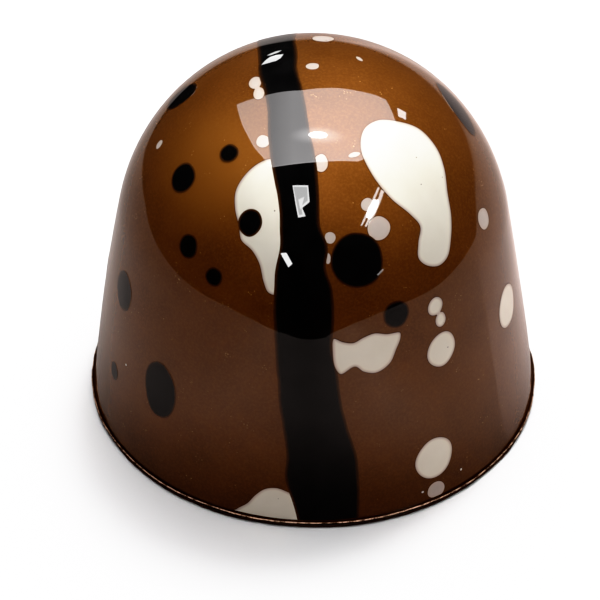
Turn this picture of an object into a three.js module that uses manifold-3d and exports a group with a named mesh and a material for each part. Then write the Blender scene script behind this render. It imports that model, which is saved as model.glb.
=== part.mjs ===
// Moulded chocolate praline: a tall glossy dome on a thin round closing layer.
// Cocoa butter colours lie flush in its surface: one dark stripe from foot to foot over
// the top, dark drops, and ivory splashes and drops.
// Millimetres, +Z up, origin at the centre of the flat underside. The best side faces -Y.

import * as THREE from "three";
import { mergeVertices } from "three/addons/utils/BufferGeometryUtils.js";
import Module from "manifold-3d";

const wasm = await Module();
wasm.setup();

// Driving dimensions of the dome, from its crown down to its foot
const HEIGHT = 24.3;
const CAP_RADIUS = 12.0;
const CAP_END_TILT = THREE.MathUtils.degToRad(35);
const SHOULDER_RADIUS = 13.2;
const WALL_START_TILT = THREE.MathUtils.degToRad(9.7);
const WALL_ARC_RADIUS = 200;

// Foot: a thin lip that stands out below a narrow groove, and the closing layer under it
const LIP_RADIUS = 14.0;
const LIP_TOP = 0.46;
const LIP_EDGE = 0.07;
const GROOVE_RADIUS = 13.72;
const GROOVE_FLOOR = 0.485;
const GROOVE_TOP = 1.2;
const LAYER_THICKNESS = 0.2;
const LAYER_RADIUS = 13.95;
const LAYER_EDGE = 0.05;

// Colour films: flush in shallow pockets, with a hairline gap on every side
const FILM_THICKNESS = 0.3;
const GAP = 0.05;
const FILM_FOOT = 0.55;
const STENCIL_REACH = 3;

// Facets
const FACETS_AROUND = 36;
const CAP_RINGS = 7;
const SHOULDER_RINGS = 3;
const WALL_RINGS = 2;
const DROP_SIDES = 12;
const OUTLINE_STEPS = 2;

// The stripe is drawn over the dome by an arm that turns about a level axis under the crown.
// Each key: [degrees from straight up, + to the front; left edge x; right edge x].
const STRIPE_AXIS_HEIGHT = 10;
const STRIPE_CORE = 3;
const STRIPE_REACH = 30;
const STRIPE_KEYS = [
  [-126, -2.6, 1.1], [-100, -2.9, 0.4], [-72, -2.7, -0.1],
  [-45, -3.2, -0.8], [-22, -3.5, -1.2], [-9, -3.44, -1.04],
  [-2, -3.4, -1.05], [5, -3.06, -0.78], [12, -2.85, -0.5],
  [20, -2.74, -0.2], [28, -2.5, 0.2], [37, -2.1, 0.36],
  [43, -2.02, 0.4], [48, -1.97, 0.85], [53, -2.2, 0.7],
  [59, -2.32, 1.13], [66, -2.36, 1.28], [76, -2.28, 1.17],
  [84, -2.2, 1.5], [94, -2.03, 1.78], [102, -1.77, 2.15],
  [110, -1.58, 2.72], [117, -1.64, 2.86], [121, -1.25, 2.85],
  [126, -0.8, 2.8],
];

// Outlines of the large splashes, each round a point of the dome: x to the right, y up
const PEAR_OUTLINE = [
  [1.1, 5.9], [2.4, 5.3], [3.5, 4.35], [3.95, 2.9], [3.78, 1.7], [3.22, 0.25],
  [2.85, -1.15], [2.3, -2.4], [1.7, -3.3], [0.9, -3.55], [0.0, -3.15], [-0.4, -2.5],
  [-0.1, -1.6], [0.35, -0.8], [0.0, 0.1], [-0.8, 1.5], [-1.2, 3.2], [-1.0, 4.8],
  [-0.1, 5.75],
];
const CRESCENT_OUTLINE = [
  [0.5, 3.8], [-0.5, 3.5], [-1.3, 2.6], [-1.72, 1.3], [-1.45, 0.2], [-0.95, -0.7],
  [-0.6, -1.5], [0.2, -1.95], [0.8, -2.6], [1.25, -3.6], [1.65, -4.15], [2.3, -4.1],
  [2.9, -2.6], [2.7, -0.5], [2.1, 1.8], [1.3, 3.4],
];
const FISH_OUTLINE = [
  [-3.35, 1.7], [-2.8, 1.4], [-2.2, 1.25], [-1.6, 1.5], [-0.9, 1.65], [-0.1, 1.4],
  [0.75, 1.25], [0.78, 0.85], [0.45, 0.1], [0.0, -0.75], [-0.9, -1.2], [-1.7, -0.95],
  [-2.2, -0.5], [-3.05, -0.9], [-3.38, -0.4], [-3.48, 0.8],
];
const FOOT_OUTLINE = [
  [-0.2, -1.3], [0.1, -0.9], [0.7, -0.35], [1.2, 0.4], [1.8, 1.0], [2.5, 1.2],
  [3.2, 1.0], [4.2, 0.4], [4.9, -0.8], [4.6, -1.5], [2.2, -1.7],
];

// Splashes: [name, outline, degrees round from the front, height, size, lean in degrees]
const WHITE_OVER_STRIPE = [["white_splash_fish", FISH_OUTLINE, 22, 12, 1, 0]];
const WHITE_SPLASHES = [
  ["white_splash_pear", PEAR_OUTLINE, 37, 19.5, 1, 0],
  ["white_splash_crescent", CRESCENT_OUTLINE, -22, 20, 1, 0],
  ["white_splash_foot", FOOT_OUTLINE, -20, 1.6, 1, 0],
  ["white_splash_back", PEAR_OUTLINE, -150, 16.5, 0.72, 200],
  ["white_splash_side", FISH_OUTLINE, 128, 8.5, 0.9, 75],
];

// Drops: [name, degrees round from the front, height, half width, half length, lean]
const DARK_DROPS = [
  ["dark_drop_large", 14.4, 18.13, 1.62, 1.68, 0],
  ["dark_drop_on_crescent", -23.7, 19.73, 0.76, 0.82, 0],
  ["dark_drop_upper_left", -58.7, 20.0, 0.97, 0.97, 0],
  ["dark_drop_top_left", -46.2, 22.0, 0.64, 0.62, 20],
  ["dark_drop_left", -43.3, 17.3, 0.7, 0.78, 0],
  ["dark_drop_small_left", -31.6, 16.35, 0.6, 0.6, 0],
  ["dark_drop_right", 24.8, 14.5, 0.84, 0.93, 0],
  ["dark_drop_side_left", -68.0, 11.0, 1.17, 1.3, 0],
  ["dark_drop_low_left", -45.5, 6.88, 1.38, 1.98, 0],
  ["dark_drop_far_left", -67.3, 4.9, 0.55, 0.62, 0],
  ["dark_drop_rim_left", -104, 20.9, 1.05, 1.35, -15],
  ["dark_streak_rim_right", 102, 20.3, 2.1, 1.05, 35],
  ["dark_drop_back_high", 158, 17.6, 1.0, 1.1, 0],
  ["dark_drop_back_low", -168, 5.4, 0.9, 1.35, 0],
  ["dark_drop_back_left", -128, 9.2, 1.2, 1.3, 0],
  ["dark_drop_back_right", 152, 11.2, 0.75, 0.8, 0],
];
const WHITE_DROPS = [
  ["white_drop_low_right", 33.4, 3.38, 1.37, 1.5, 0],
  ["white_drop_foot_right", 33.3, 0.98, 0.67, 0.62, 0],
  ["white_drop_middle_right", 38.6, 10.87, 1.11, 1.21, 0],
  ["white_drop_far_right", 70.5, 9.65, 1.4, 1.42, 0],
  ["white_drop_upper_right", 66.8, 16.7, 0.66, 0.71, 0],
  ["white_drop_by_pear", 23.8, 19.5, 0.76, 0.74, 0],
  ["white_drop_crown", 3.6, 22.48, 0.45, 0.6, 0],
  ["white_drop_rim_back", 174, 23.3, 0.7, 0.75, 0],
  ["white_drop_right_back", 100, 13.6, 0.85, 0.9, 0],
  ["white_drop_left_back", -104, 14.2, 0.6, 0.65, 0],
  ["white_drop_low_left", -112, 4.4, 1.1, 1.25, 0],
  ["white_drop_low_back", 166, 4.6, 1.2, 1.3, 0],
  ["white_drop_side_back", -97, 8.2, 0.7, 0.85, 0],
];

// Pairs of drops that ran together: [name, two drops without names]
const WHITE_TWINS = [
  ["white_twin_right", [37.8, 14.02, 0.6, 0.64, 0], [39.2, 12.95, 0.43, 0.54, 0]],
  ["white_twin_crown", [-86, 23.75, 0.62, 0.43, 0], [-69, 23.75, 0.56, 0.38, 0]],
];

const COLOURS = {
  shell: { color: 0x54300f, roughness: 0.18 },
  layer: { color: 0x3c1f0e, roughness: 0.45 },
  dark: { color: 0x0b0706, roughness: 0.15 },
  white: { color: 0xe9e2cf, roughness: 0.2 },
};

function finish(kind) {
  return new THREE.MeshStandardMaterial({ ...COLOURS[kind], metalness: 0 });
}

// Ends of the dome's three arcs, where tilt is how far the surface faces up
const capEndRadius = CAP_RADIUS * Math.cos(CAP_END_TILT);
const capEndHeight = HEIGHT - CAP_RADIUS * (1 - Math.sin(CAP_END_TILT));
const wallTopRadius =
  capEndRadius + SHOULDER_RADIUS * (Math.cos(WALL_START_TILT) - Math.cos(CAP_END_TILT));
const wallTopHeight =
  capEndHeight - SHOULDER_RADIUS * (Math.sin(CAP_END_TILT) - Math.sin(WALL_START_TILT));

function capAt(tilt) {
  const radius = CAP_RADIUS * Math.cos(tilt);
  return { radius, height: HEIGHT - CAP_RADIUS * (1 - Math.sin(tilt)), tilt };
}

function shoulderAt(tilt) {
  const radius = capEndRadius + SHOULDER_RADIUS * (Math.cos(tilt) - Math.cos(CAP_END_TILT));
  const drop = SHOULDER_RADIUS * (Math.sin(CAP_END_TILT) - Math.sin(tilt));
  return { radius, height: capEndHeight - drop, tilt };
}

function wallAt(height) {
  const sine = Math.sin(WALL_START_TILT) - (wallTopHeight - height) / WALL_ARC_RADIUS;
  const tilt = Math.asin(sine);
  const reach = WALL_ARC_RADIUS * (Math.cos(tilt) - Math.cos(WALL_START_TILT));
  return { radius: wallTopRadius + reach, height, tilt };
}

// Point of the profile at a height
function profileAt(height) {
  if (height <= wallTopHeight) return wallAt(height);
  if (height <= capEndHeight) {
    const drop = (capEndHeight - height) / SHOULDER_RADIUS;
    return shoulderAt(Math.asin(Math.sin(CAP_END_TILT) - drop));
  }
  return capAt(Math.asin(1 - (HEIGHT - height) / CAP_RADIUS));
}

// Profile from a height near the foot up to the crown, moved in by inset
function domeProfile(bottom, inset) {
  const places = [];
  for (let i = 0; i < WALL_RINGS; i += 1) {
    places.push(wallAt(bottom + ((wallTopHeight - bottom) * i) / WALL_RINGS));
  }
  for (let i = 0; i < SHOULDER_RINGS; i += 1) {
    const share = i / SHOULDER_RINGS;
    places.push(shoulderAt(WALL_START_TILT + (CAP_END_TILT - WALL_START_TILT) * share));
  }
  for (let i = 0; i < CAP_RINGS; i += 1) {
    places.push(capAt(CAP_END_TILT + ((Math.PI / 2 - CAP_END_TILT) * i) / CAP_RINGS));
  }
  const points = places.map(
    ({ radius, height, tilt }) =>
      new THREE.Vector2(radius - inset * Math.cos(tilt), height - inset * Math.sin(tilt)),
  );
  points.push(new THREE.Vector2(0, HEIGHT - inset));
  return points;
}

// Closed solid of revolution about Z, from a profile that starts and ends on the axis
function turned(profile) {
  const geometry = new THREE.LatheGeometry(profile, FACETS_AROUND);
  geometry.rotateX(Math.PI / 2);
  return geometry;
}

function toSolid(geometry) {
  const bare = geometry.clone();
  bare.deleteAttribute("normal");
  bare.deleteAttribute("uv");
  const merged = mergeVertices(bare, 1e-5);
  const mesh = new wasm.Mesh({
    numProp: 3,
    vertProperties: new Float32Array(merged.attributes.position.array),
    triVerts: new Uint32Array(merged.index.array),
  });
  return new wasm.Manifold(mesh);
}

function toGeometry(solid) {
  const { vertProperties, triVerts } = solid.getMesh();
  const geometry = new THREE.BufferGeometry();
  geometry.setAttribute("position", new THREE.BufferAttribute(vertProperties, 3));
  geometry.setIndex(new THREE.BufferAttribute(triVerts, 1));
  return geometry;
}

function named(name, geometry, kind) {
  const mesh = new THREE.Mesh(geometry, finish(kind));
  mesh.name = name;
  return mesh;
}

// Frame on the dome's surface: x runs round to the right, y up the surface, z outward
function surfaceFrame(turn, height) {
  const { radius, tilt } = profileAt(height);
  const around = THREE.MathUtils.degToRad(turn);
  const out = new THREE.Vector3(Math.sin(around), -Math.cos(around), 0);
  const place = out.clone().multiplyScalar(radius).setZ(height);
  const right = new THREE.Vector3(Math.cos(around), Math.sin(around), 0);
  const normal = out.multiplyScalar(Math.cos(tilt)).setZ(Math.sin(tilt));
  const up = new THREE.Vector3().crossVectors(normal, right);
  return new THREE.Matrix4().makeBasis(right, up, normal).setPosition(place);
}

// Closed loop of points moved outward by a margin
function grown(points, margin) {
  const count = points.length;
  return points.map((point, i) => {
    const before = points[(i + count - 1) % count];
    const after = points[(i + 1) % count];
    const along = after.clone().sub(before).normalize();
    return new THREE.Vector2(point.x + along.y * margin, point.y - along.x * margin);
  });
}

function ellipsePoints(halfWidth, halfLength, lean) {
  const curve = new THREE.EllipseCurve(
    0, 0, halfWidth, halfLength, 0, 2 * Math.PI, false, THREE.MathUtils.degToRad(lean),
  );
  return curve.getPoints(DROP_SIDES).slice(0, -1);
}

function splashPoints(outline, size, lean) {
  const knots = outline.map(([x, y]) => new THREE.Vector3(x * size, y * size, 0));
  const curve = new THREE.CatmullRomCurve3(knots, true, "centripetal");
  const points = curve.getPoints(outline.length * OUTLINE_STEPS).slice(0, -1);
  const turnedPoints = points.map(({ x, y }) =>
    new THREE.Vector2(x, y).rotateAround(new THREE.Vector2(), THREE.MathUtils.degToRad(lean)),
  );
  return THREE.ShapeUtils.isClockWise(turnedPoints) ? turnedPoints.reverse() : turnedPoints;
}

// Stencil: the loop pushed straight through the surface at its place
function stencil(points, turn, height, margin) {
  const shape = new THREE.Shape(grown(points, margin));
  const geometry = new THREE.ExtrudeGeometry(shape, {
    depth: 2 * STENCIL_REACH,
    bevelEnabled: false,
  });
  geometry.translate(0, 0, -STENCIL_REACH);
  geometry.applyMatrix4(surfaceFrame(turn, height));
  return toSolid(geometry);
}

// Solid swept by the arm between the stripe's two edges
function stripeStencil(margin) {
  const positions = [];
  const indices = [];
  for (const [i, [angle, left, right]] of STRIPE_KEYS.entries()) {
    const swing = THREE.MathUtils.degToRad(angle);
    const corners = [
      [left - margin, STRIPE_CORE],
      [right + margin, STRIPE_CORE],
      [right + margin, STRIPE_REACH],
      [left - margin, STRIPE_REACH],
    ];
    for (const [x, reach] of corners) {
      positions.push(x, -reach * Math.sin(swing));
      positions.push(STRIPE_AXIS_HEIGHT + reach * Math.cos(swing));
    }
    if (i === 0) continue;
    const now = 4 * i;
    const was = now - 4;
    for (let k = 0; k < 4; k += 1) {
      const next = (k + 1) % 4;
      indices.push(was + k, now + next, now + k, was + k, was + next, now + next);
    }
  }
  const end = 4 * (STRIPE_KEYS.length - 1);
  indices.push(0, 2, 1, 0, 3, 2, end, end + 1, end + 2, end, end + 2, end + 3);
  const geometry = new THREE.BufferGeometry();
  geometry.setAttribute("position", new THREE.Float32BufferAttribute(positions, 3));
  geometry.setIndex(indices);
  return toSolid(geometry);
}

// Profile from the groove over the lip up to the crown, moved in by inset
function groovedProfile(inset) {
  const groove = new THREE.Vector2(GROOVE_RADIUS - inset, GROOVE_FLOOR);
  return [groove, ...domeProfile(GROOVE_TOP, inset)];
}

// What lies deeper than inset under the dome's surface, down to the floor
function coreSolid(inset) {
  const foot = [new THREE.Vector2(0, 0), new THREE.Vector2(GROOVE_RADIUS - inset, 0)];
  return toSolid(turned([...foot, ...groovedProfile(inset)]));
}

// Everything above a height, wide enough for the whole praline
function spaceAbove(bottom) {
  const geometry = new THREE.CylinderGeometry(STRIPE_REACH, STRIPE_REACH, STRIPE_REACH);
  geometry.rotateX(Math.PI / 2);
  geometry.translate(0, 0, bottom + STRIPE_REACH / 2);
  return toSolid(geometry);
}

// Each film as its name, its colour and its stencil for a margin
function splashFilm([name, outline, turn, height, size, lean], kind) {
  const points = splashPoints(outline, size, lean);
  return { name, kind, cut: (margin) => stencil(points, turn, height, margin) };
}

function dropStencil([turn, height, halfWidth, halfLength, lean], margin) {
  return stencil(ellipsePoints(halfWidth, halfLength, lean), turn, height, margin);
}

function dropFilm([name, ...drop], kind) {
  return { name, kind, cut: (margin) => dropStencil(drop, margin) };
}

function twinFilm([name, one, other], kind) {
  const cut = (margin) => dropStencil(one, margin).add(dropStencil(other, margin));
  return { name, kind, cut };
}

// Films in the order in which they hide each other, the outermost first
const films = [
  ...WHITE_OVER_STRIPE.map((splash) => splashFilm(splash, "white")),
  { name: "dark_stripe", kind: "dark", cut: stripeStencil },
  ...DARK_DROPS.map((drop) => dropFilm(drop, "dark")),
  ...WHITE_SPLASHES.map((splash) => splashFilm(splash, "white")),
  ...WHITE_TWINS.map((twin) => twinFilm(twin, "white")),
  ...WHITE_DROPS.map((drop) => dropFilm(drop, "white")),
];

// Dome with its lip, before the pockets are cut
function plainShell() {
  const seamTop = LAYER_THICKNESS + GAP;
  const foot = [
    [0, seamTop],
    [LIP_RADIUS, seamTop],
    [LIP_RADIUS, LIP_TOP - LIP_EDGE],
    [LIP_RADIUS - LIP_EDGE, LIP_TOP],
  ].map(([radius, height]) => new THREE.Vector2(radius, height));
  return toSolid(turned([...foot, ...groovedProfile(0)]));
}

function closingLayer() {
  const profile = [
    [0, 0],
    [LAYER_RADIUS - LAYER_EDGE, 0],
    [LAYER_RADIUS, LAYER_EDGE],
    [LAYER_RADIUS, LAYER_THICKNESS],
    [0, LAYER_THICKNESS],
  ].map(([radius, height]) => new THREE.Vector2(radius, height));
  return named("closing_layer", turned(profile), "layer");
}

function praline() {
  const group = new THREE.Group();
  group.add(closingLayer());

  const outer = coreSolid(0).intersect(spaceAbove(FILM_FOOT));
  const skin = outer.subtract(coreSolid(FILM_THICKNESS));
  const pocketSpace = spaceAbove(FILM_FOOT - GAP).subtract(coreSolid(FILM_THICKNESS + GAP));
  let taken = null;
  for (const film of films) {
    const whole = skin.intersect(film.cut(0));
    const visible = taken ? whole.subtract(taken) : whole;
    group.add(named(film.name, toGeometry(visible), film.kind));
    const grownCut = film.cut(GAP);
    taken = taken ? taken.add(grownCut) : grownCut;
  }
  const shell = plainShell().subtract(pocketSpace.intersect(taken));
  group.add(named("shell", toGeometry(shell), "shell"));
  return group;
}

export default praline();
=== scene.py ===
# Moulded chocolate praline on a white sheet, under one large softbox.
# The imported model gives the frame. Here the shell gets its smooth glossy surface, and the
# cocoa butter films get their true outlines. Sizes are millimetres until the last step.

import math

import bpy
import numpy as np
from mathutils import Matrix, Vector, geometry


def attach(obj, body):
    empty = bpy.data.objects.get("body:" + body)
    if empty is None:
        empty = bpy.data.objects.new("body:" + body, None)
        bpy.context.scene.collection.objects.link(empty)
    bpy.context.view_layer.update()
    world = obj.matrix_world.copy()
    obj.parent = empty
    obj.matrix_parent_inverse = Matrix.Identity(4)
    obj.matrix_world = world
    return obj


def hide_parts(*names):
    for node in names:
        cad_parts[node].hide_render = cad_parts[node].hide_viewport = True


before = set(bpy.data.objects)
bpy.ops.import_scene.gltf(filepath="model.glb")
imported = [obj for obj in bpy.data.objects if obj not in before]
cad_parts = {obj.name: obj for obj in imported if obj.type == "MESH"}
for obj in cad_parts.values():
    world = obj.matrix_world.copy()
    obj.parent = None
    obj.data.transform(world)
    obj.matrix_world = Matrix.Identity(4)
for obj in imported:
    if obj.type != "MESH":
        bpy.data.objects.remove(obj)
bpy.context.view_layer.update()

MM = 0.001

# Dome, with the solid's arcs and a groove that is a little less deep than the solid's
HEIGHT = 24.3
CAP_RADIUS = 12.0
CAP_END_TILT = math.radians(35)
SHOULDER_RADIUS = 13.2
WALL_START_TILT = math.radians(9.7)
WALL_ARC_RADIUS = 200.0
LIP_RADIUS = 14.0
LIP_TOP = 0.46
GROOVE_RADIUS = 13.88
GROOVE_START = LIP_TOP + 0.04
GROOVE_TOP = 1.2
SEAM = 0.22
LAYER_RADIUS = 14.02
# The foot stands slightly to one side, which dies away up the wall
FOOT_SHIFT = (0.105, -0.03)
FOOT_SHIFT_HEIGHT = 9.0

CAP_END_RADIUS = CAP_RADIUS * math.cos(CAP_END_TILT)
CAP_END_HEIGHT = HEIGHT - CAP_RADIUS * (1 - math.sin(CAP_END_TILT))
WALL_TOP_RADIUS = CAP_END_RADIUS + SHOULDER_RADIUS * (
    math.cos(WALL_START_TILT) - math.cos(CAP_END_TILT)
)
WALL_TOP_HEIGHT = CAP_END_HEIGHT - SHOULDER_RADIUS * (
    math.sin(CAP_END_TILT) - math.sin(WALL_START_TILT)
)

# Lip from the seam up to the groove: radius, height, share of the sideways and of the upward
# raggedness, how much of the crest's painted highlight and how much of the painted dark shade it
# has
LIP_PROFILE = [
    (LIP_RADIUS - 0.06, SEAM, 0.0, 0.0, 0, 1),
    (LIP_RADIUS + 0.02, SEAM + 0.02, 0.6, 0.2, 0, 1),
    (LIP_RADIUS + 0.05, SEAM + 0.06, 1.0, 0.4, 0, 1),
    (LIP_RADIUS + 0.06, SEAM + 0.11, 1.0, 0.8, 0, 1),
    (LIP_RADIUS + 0.055, LIP_TOP - 0.10, 1.0, 1.0, 1, 1),
    (LIP_RADIUS + 0.035, LIP_TOP - 0.075, 1.0, 1.0, 1, 1),
    (LIP_RADIUS, LIP_TOP - 0.06, 0.8, 1.0, 0, 1),
    (LIP_RADIUS - 0.08, LIP_TOP - 0.02, 0.5, 0.6, 0, 1),
    (GROOVE_RADIUS + 0.08, LIP_TOP, 0.2, 0.5, 0, 1),
    (GROOVE_RADIUS + 0.02, LIP_TOP + 0.01, 0.0, 0.1, 0, 1),
]
# Waves of the raggedness to a full turn, and how fast they shrink as they get shorter
LIP_WAVES = ((7, 13, 22, 41, 67, 96), 0.5)
LIP_RAGGED = 0.018
LIP_RAGGED_UPWARD = 0.012
LIP_SEEDS = (5, 17)
SHELL_SIDES = 288
# Rows of points over the groove, the wall, the shoulder and the cap
SHELL_ROWS = (14, 34, 26, 54)

# Dark shade above the lip, in the groove and over the foot: how high it reaches, how strong
GROOVE_SHADE = 0.16
GROOVE_DARKENING = 0.75
FOOT_SHADE = 6.0
FOOT_DARKENING = 0.22

# Closing layer: radius, height, share of the raggedness, from the floor up
LAYER_TOP = 0.20
LAYER_PROFILE = [
    (LAYER_RADIUS - 0.06, 0.0, 0.5),
    (LAYER_RADIUS - 0.015, 0.02, 0.8),
    (LAYER_RADIUS, 0.06, 1.0),
    (LAYER_RADIUS, 0.14, 1.0),
    (LAYER_RADIUS - 0.03, 0.19, 0.8),
    (LAYER_RADIUS - 0.12, LAYER_TOP, 0.0),
]
LAYER_RAGGED = 0.02
LAYER_SEED = 31
LAYER_SIDES = 240

# Films: how far each kind stands off the shell, how deep the underside lies, the height that
# none goes below, how wide the rims are, and how fine the grid of points is
WHITE_LIFT = 0.010
DARK_LIFT = 0.018
STRIPE_LIFT = 0.022
TOP_LIFT = 0.026
FILM_DEPTH = 0.12
FILM_FOOT = 0.50
WHITE_RIM = 0.28
DARK_RIM = 0.21
STRIPE_RIM = 0.30
FILM_GRID = 0.32
FILM_LEAST_CELLS = 6
RING_KEEP = 0.9
GRID_GAP = 0.4
FILM_REACH = 5.0
# Parts of the rim's width at which a film has rows of points
RIM_STEPS = (0.33, 0.66, 1.0, 1.6)
# Outline of a drop: how uneven, how long each side is, and how few sides it may have
DROP_UNEVENNESS = 0.035
TWIN_UNEVENNESS = 0.03
SPECK_UNEVENNESS = 0.05
DROP_SIDE = 0.07
DROP_LEAST_SIDES = 28
SPLASH_STEPS = 8

# The stripe, drawn by an arm that turns about a level axis under the crown.
# Each key: degrees from straight up (+ to the front), left edge x, right edge x.
STRIPE_AXIS_HEIGHT = 10.0
STRIPE_KEYS = [
    (-126, -2.6, 1.1), (-100, -2.9, 0.4), (-72, -2.7, -0.1),
    (-45, -3.2, -0.8), (-22, -3.5, -1.2), (-9, -3.44, -1.04),
    (-2, -3.4, -1.05), (5, -3.06, -0.78), (12, -2.85, -0.5),
    (20, -2.74, -0.2), (28, -2.5, 0.2), (37, -2.1, 0.36),
    (43, -2.02, 0.4), (48, -1.97, 0.85), (53, -2.2, 0.7),
    (59, -2.32, 1.13), (66, -2.36, 1.28), (76, -2.28, 1.17),
    (84, -2.2, 1.5), (94, -2.03, 1.78), (102, -1.77, 2.15),
    (110, -1.58, 2.72), (117, -1.64, 2.86), (121, -1.25, 2.85),
    (126, -0.8, 2.8),
]
STRIPE_END = 124.6
STRIPE_ROWS = 300
STRIPE_INNER_COLUMNS = 12
STRIPE_CAST = (2.0, 25.0)
STRIPE_WAVER = 0.02
STRIPE_WAVES = ((5, 9, 14, 23, 37, 61), 0.6)
STRIPE_SEEDS = (3, 8)

# Outlines of the large splashes, each round a point of the dome: x to the right, y up
PEAR_OUTLINE = [
    (1.1, 5.9), (2.4, 5.3), (3.5, 4.35), (3.95, 2.9), (3.78, 1.7), (3.22, 0.25),
    (2.85, -1.15), (2.3, -2.4), (1.7, -3.3), (0.9, -3.55), (0.0, -3.15), (-0.4, -2.5),
    (-0.1, -1.6), (0.35, -0.8), (0.0, 0.1), (-0.8, 1.5), (-1.2, 3.2), (-1.0, 4.8),
    (-0.1, 5.75),
]
CRESCENT_OUTLINE = [
    (0.5, 3.8), (-0.5, 3.5), (-1.3, 2.6), (-1.72, 1.3), (-1.45, 0.2), (-0.95, -0.7),
    (-0.6, -1.5), (0.2, -1.95), (0.8, -2.6), (1.25, -3.6), (1.65, -4.15), (2.3, -4.1),
    (2.9, -2.6), (2.7, -0.5), (2.1, 1.8), (1.3, 3.4),
]
FISH_OUTLINE = [
    (-3.35, 1.7), (-2.8, 1.4), (-2.2, 1.25), (-1.6, 1.5), (-0.9, 1.65), (-0.1, 1.4),
    (0.75, 1.25), (0.78, 0.85), (0.45, 0.1), (0.0, -0.75), (-0.9, -1.2), (-1.7, -0.95),
    (-2.2, -0.5), (-3.05, -0.9), (-3.38, -0.4), (-3.48, 0.8),
]
FOOT_OUTLINE = [
    (-0.2, -1.3), (0.1, -0.9), (0.7, -0.35), (1.2, 0.4), (1.8, 1.0), (2.5, 1.2),
    (3.2, 1.0), (4.2, 0.4), (4.9, -0.8), (4.6, -1.5), (2.2, -1.7),
]

# Splashes: name, outline, degrees round from the front, height, size, lean
SPLASHES = [
    ("white_splash_pear", PEAR_OUTLINE, 37, 19.5, 1, 0),
    ("white_splash_crescent", CRESCENT_OUTLINE, -22, 20, 1, 0),
    ("white_splash_foot", FOOT_OUTLINE, -20, 1.6, 1, 0),
    ("white_splash_back", PEAR_OUTLINE, -150, 16.5, 0.72, 200),
    ("white_splash_side", FISH_OUTLINE, 128, 8.5, 0.9, 75),
]
TOP_SPLASH = ("white_splash_fish", FISH_OUTLINE, 22, 12, 1, 0)

# Drops: name, degrees round from the front, height, half width, half length, lean
DARK_DROPS = [
    ("dark_drop_large", 14.4, 18.13, 1.62, 1.68, 0),
    ("dark_drop_on_crescent", -23.7, 19.73, 0.76, 0.82, 0),
    ("dark_drop_upper_left", -58.7, 20.0, 0.97, 0.97, 0),
    ("dark_drop_top_left", -46.2, 22.0, 0.64, 0.62, 20),
    ("dark_drop_left", -43.3, 17.3, 0.7, 0.78, 0),
    ("dark_drop_small_left", -31.6, 16.35, 0.6, 0.6, 0),
    ("dark_drop_right", 24.8, 14.5, 0.84, 0.93, 0),
    ("dark_drop_side_left", -68.0, 11.0, 1.17, 1.3, 0),
    ("dark_drop_low_left", -45.5, 6.88, 1.38, 1.98, 0),
    ("dark_drop_far_left", -67.3, 4.9, 0.55, 0.62, 0),
    ("dark_drop_rim_left", -104, 20.9, 1.05, 1.35, -15),
    ("dark_streak_rim_right", 102, 20.3, 2.1, 1.05, 35),
    ("dark_drop_back_high", 158, 17.6, 1.0, 1.1, 0),
    ("dark_drop_back_low", -168, 5.4, 0.9, 1.35, 0),
    ("dark_drop_back_left", -128, 9.2, 1.2, 1.3, 0),
    ("dark_drop_back_right", 152, 11.2, 0.75, 0.8, 0),
]
WHITE_DROPS = [
    ("white_drop_low_right", 33.4, 3.38, 1.37, 1.5, 0),
    ("white_drop_foot_right", 33.3, 0.98, 0.67, 0.62, 0),
    ("white_drop_middle_right", 38.6, 10.87, 1.11, 1.21, 0),
    ("white_drop_far_right", 70.5, 9.65, 1.4, 1.42, 0),
    ("white_drop_upper_right", 66.8, 16.7, 0.66, 0.71, 0),
    ("white_drop_by_pear", 23.8, 19.5, 0.76, 0.74, 0),
    ("white_drop_crown", 3.6, 22.48, 0.45, 0.6, 0),
    ("white_drop_rim_back", 174, 23.3, 0.7, 0.75, 0),
    ("white_drop_right_back", 100, 13.6, 0.85, 0.9, 0),
    ("white_drop_left_back", -104, 14.2, 0.6, 0.65, 0),
    ("white_drop_low_left", -112, 4.4, 1.1, 1.25, 0),
    ("white_drop_low_back", 166, 4.6, 1.2, 1.3, 0),
    ("white_drop_side_back", -97, 8.2, 0.7, 0.85, 0),
]

# Pairs of drops that ran together: name, and the two drops without names
WHITE_TWINS = [
    ("white_twin_right", (37.8, 14.02, 0.6, 0.64, 0), (39.2, 12.95, 0.43, 0.54, 0)),
    ("white_twin_crown", (-86, 23.75, 0.62, 0.43, 0), (-69, 23.75, 0.56, 0.38, 0)),
]

# Spatter too small for solids of its own: degrees round, height, half width, half length
WHITE_SPECKS = [
    (21.8, 20.66, 0.45, 0.4), (5.8, 19.42, 0.33, 0.37), (4.7, 18.4, 0.19, 0.33),
    (-32.6, 22.86, 0.44, 0.42), (-169.1, 24.277, 0.41, 0.36), (128.0, 23.8, 0.3, 0.16),
    (-82.8, 19.68, 0.28, 0.32), (22.7, 22.6, 0.38, 0.17), (-60.96, 6.45, 0.08, 0.07),
    (41.6, 1.52, 0.08, 0.08), (29.3, 1.2, 0.09, 0.08),
]
SPECK_RIM_SHARE = 0.3
TINY_SPECK = 0.1

# Camera, as worked out from the praline's outline
CAMERA_TARGET = Vector((-0.784, 0.0, 6.352))
CAMERA_DISTANCE = 300.0
CAMERA_ELEVATION = math.radians(40.467)
CAMERA_ROLL = math.radians(0.443)
CAMERA_LENS = 287.27
CAMERA_SENSOR = 36.0
CAMERA_CLIP = (0.001, 20)

# Tone: a toe that deepens the darks, and a soft shoulder up to full white
TONE_TOE = 0.08
TONE_TOE_LIGHTS = (0.01, 0.03, 0.06, 0.1, 0.18, 0.3, 0.45, 0.6, 0.75)
TONE_SHOULDER = [(0.9, 0.872), (1.0, 0.933), (1.15, 0.98)]
TONE_WHITE = 1.35

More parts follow.
